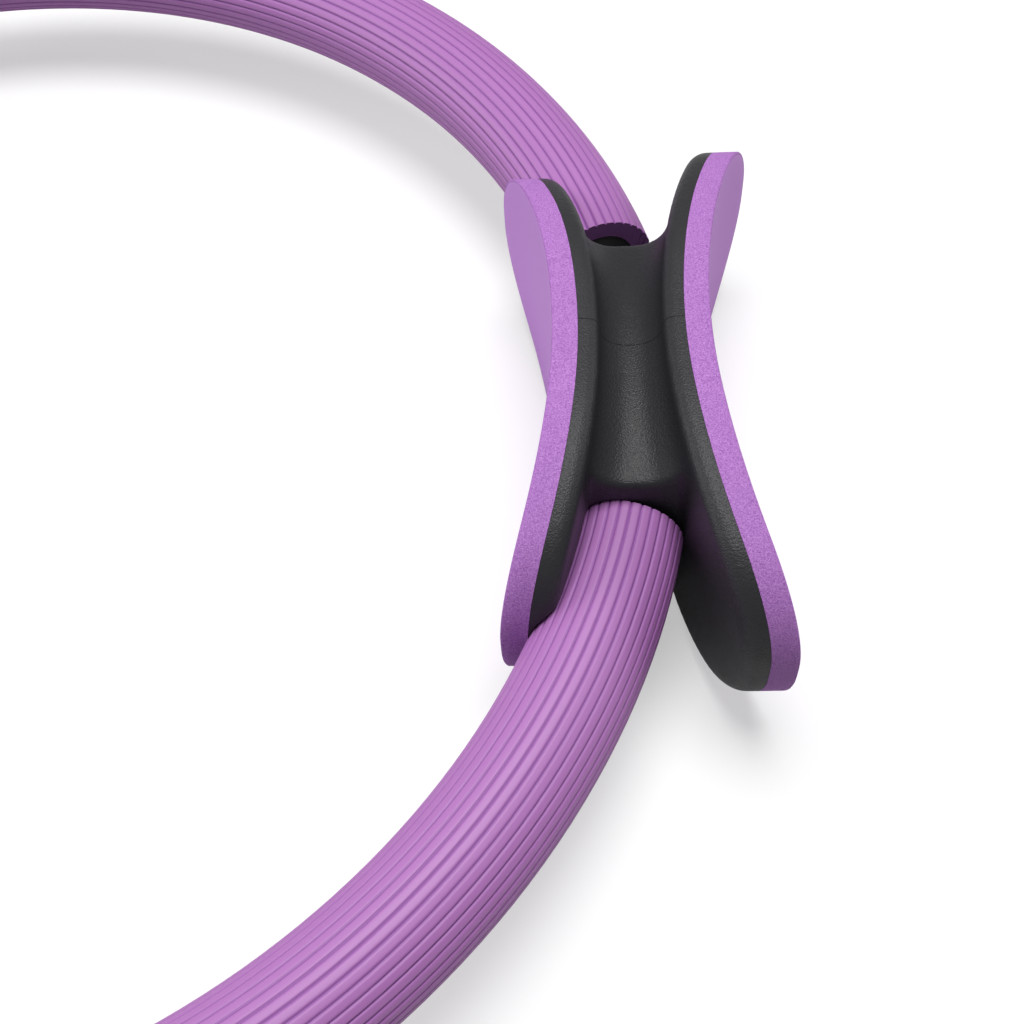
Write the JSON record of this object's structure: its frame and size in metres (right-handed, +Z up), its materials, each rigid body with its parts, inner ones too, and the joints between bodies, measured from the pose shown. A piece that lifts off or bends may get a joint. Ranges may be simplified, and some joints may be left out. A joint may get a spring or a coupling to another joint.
{
  "type": "pilates ring",
  "caption": "Springy exercise hoop in ribbed purple foam, with a black waisted handle and curved foam pads at both ends of a diameter, squeezed between hands or legs.",
  "frame": {"origin": "On the floor, below the middle of the hoop, with the ring lying flat on the lower edges of its pads.", "axes": "+X through the pictured handle, +Y along the back of the hoop, +Z up through the ring."},
  "size_m": [0.406, 0.3698, 0.065],
  "materials": {
    "sleeve_foam": "matte closed-cell foam, ribbed along its length",
    "pad_foam": "matte cut foam sheet",
    "handle_plastic": "fine matte moulded texture",
    "core_plastic": "plain extruded rod",
    "tape": "thin adhesive film",
    "steel": "plain"
  },
  "bodies": {
    "hoop": {"core_rod_front": "core_plastic", "core_rod_back": "core_plastic", "sleeve_front": "sleeve_foam", "sleeve_back": "sleeve_foam"},
    "right_handle": {"right_handle_front_half": "handle_plastic", "right_handle_back_half": "handle_plastic", "right_outer_pad": "pad_foam", "right_inner_pad": "pad_foam", "right_outer_pad_tape": "tape", "right_inner_pad_tape": "tape", "right_core_dowel": "steel", "right_core_pins": "steel"},
    "left_handle": {"left_handle_front_half": "handle_plastic", "left_handle_back_half": "handle_plastic", "left_outer_pad": "pad_foam", "left_inner_pad": "pad_foam", "left_outer_pad_tape": "tape", "left_inner_pad_tape": "tape", "left_core_dowel": "steel", "left_core_pins": "steel"}
  },
  "joints": [
    {"name": "right_squeeze", "type": "slide", "parent": "hoop", "child": "right_handle", "axis": [-1, 0, 0], "range_m": [-0.012, 0.045], "stiffness_N_per_m": 2200, "deforming": ["core_rod_front", "core_rod_back", "sleeve_front", "sleeve_back"]},
    {"name": "left_squeeze", "type": "slide", "parent": "hoop", "child": "left_handle", "axis": [1, 0, 0], "range_m": [-0.012, 0.045], "stiffness_N_per_m": 2200, "deforming": ["core_rod_front", "core_rod_back", "sleeve_front", "sleeve_back"]}
  ],
  "couplings": [
    {"joint": "left_squeeze", "follows": "right_squeeze", "ratio": 1}
  ]
}
